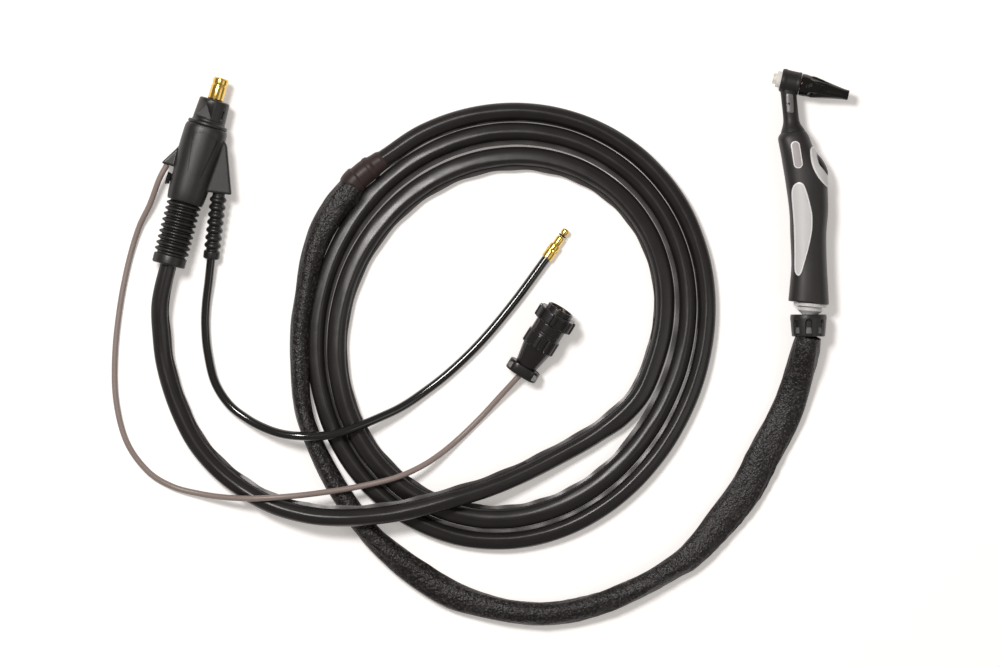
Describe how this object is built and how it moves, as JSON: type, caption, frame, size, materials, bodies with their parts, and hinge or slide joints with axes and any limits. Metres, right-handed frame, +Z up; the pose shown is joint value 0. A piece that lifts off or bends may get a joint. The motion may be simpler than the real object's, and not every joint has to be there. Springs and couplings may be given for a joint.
{
  "type": "arc welding torch with cable assembly",
  "caption": "Right-angle arc welding torch: ball-jointed handle with trigger, back cap and collet, leather-sleeved power cable to a plain round-pin power connector, gas plug and control plug",
  "frame": {"origin": "bottom centre of the box round the torch itself (head, handle and swivel nut), on the bench", "axes": "+Y along the handle towards the head, +X towards the back cap, +Z up from the bench"},
  "size_m": [0.6258, 0.4712, 0.0372],
  "materials": {
    "grip_black": "soft-touch moulded",
    "head_rubber": "moulded, satin",
    "cap_black": "gloss phenolic",
    "insulator_white": "glazed white",
    "trim_light": "satin light grey",
    "badge_grey": "printed pill, bare",
    "plate_grey": "brushed",
    "copper": "turned copper",
    "brass": "turned brass",
    "steel": "zinc plated",
    "bearing_grey": "moulded",
    "switch_grey": "moulded",
    "oring": "smooth",
    "leather_black": "grained, worn",
    "shrink_brown": "shrunk sleeve",
    "sheath_black": "satin",
    "gas_hose_black": "gloss",
    "lead_taupe": "satin",
    "connector_black": "fine spark texture",
    "boot_black": "moulded ribs",
    "plug_black": "moulded",
    "inner_hose": "reinforced"
  },
  "bodies": {
    "cable_set": {"swivel_nut": "connector_black", "leather_sleeve": "leather_black", "sleeve_joint": "shrink_brown", "sheath_coil": "sheath_black", "sheath_run": "sheath_black", "main_boot": "boot_black", "connector_shell_upper": "connector_black", "connector_shell_lower": "connector_black", "connector_nose": "connector_black", "power_pin": "brass", "cable_crimp": "copper", "shell_screws": "steel", "lock_knob": "connector_black", "gas_outlet": "brass", "gas_boot": "boot_black", "gas_hose": "gas_hose_black", "gas_ferrule": "brass", "gas_plug": "brass", "plug_oring": "oring", "control_lead": "lead_taupe", "cable_clamp": "plug_black", "clamp_screws": "steel", "plug_backshell": "plug_black", "plug_shell": "plug_black", "plug_insert": "switch_grey", "contact_pins": "brass"},
    "race": {"ball_race": "bearing_grey"},
    "seat": {"ball_seat": "bearing_grey"},
    "torch": {"head_cover": "head_rubber", "head_core": "copper", "neck_tube": "copper", "insulator_ring": "insulator_white", "collet_body": "brass", "neck_plate": "plate_grey", "neck_rivet": "steel", "handle_shell_upper": "grip_black", "handle_shell_lower": "grip_black", "inlay_upper": "trim_light", "badge_upper": "badge_grey", "trigger_bezel": "trim_light", "trigger_spring": "steel", "micro_switch": "switch_grey", "handle_screws": "steel", "power_hose": "inner_hose", "ball_neck": "trim_light"},
    "button": {"trigger_button": "plug_black"},
    "collet": {"collet": "copper"},
    "cap": {"back_cap": "cap_black", "cap_oring": "oring"},
    "plug_ring": {"coupling_ring": "plug_black"}
  },
  "joints": [
    {"name": "swivel_spin", "type": "hinge", "parent": "cable_set", "child": "race", "pos_m": [-0.0024, -0.1032, 0.016], "axis": [0, 1, 0], "range_deg": [-90, 90]},
    {"name": "swivel_tilt", "type": "hinge", "parent": "race", "child": "seat", "pos_m": [-0.0024, -0.1032, 0.016], "axis": [1, 0, 0], "range_deg": [-8, 8]},
    {"name": "swivel_side", "type": "hinge", "parent": "seat", "child": "torch", "pos_m": [-0.0024, -0.1032, 0.016], "axis": [0, 0, 1], "range_deg": [-3, 13]},
    {"name": "trigger_press", "type": "slide", "parent": "torch", "child": "button", "axis": [-0.8695, -0.4939, 0], "range_m": [0, 0.002], "stiffness_N_per_m": 600, "springref_m": -0.001},
    {"name": "cap_travel", "type": "slide", "parent": "torch", "child": "collet", "axis": [0.9744, -0.225, 0], "range_m": [0, 0.00375]},
    {"name": "cap_spin", "type": "hinge", "parent": "collet", "child": "cap", "pos_m": [-0.0171, 0.1026, 0.016], "axis": [0.9744, -0.225, 0], "range_deg": [0, 1081]},
    {"name": "ring_spin", "type": "hinge", "parent": "cable_set", "child": "plug_ring", "pos_m": [-0.21797, -0.09909, 0.01819], "axis": [0.5255, 0.8378, 0.1482], "continuous": true}
  ],
  "couplings": [
    {"joint": "cap_spin", "follows": "cap_travel", "rad_per_m": 5026.5}
  ]
}
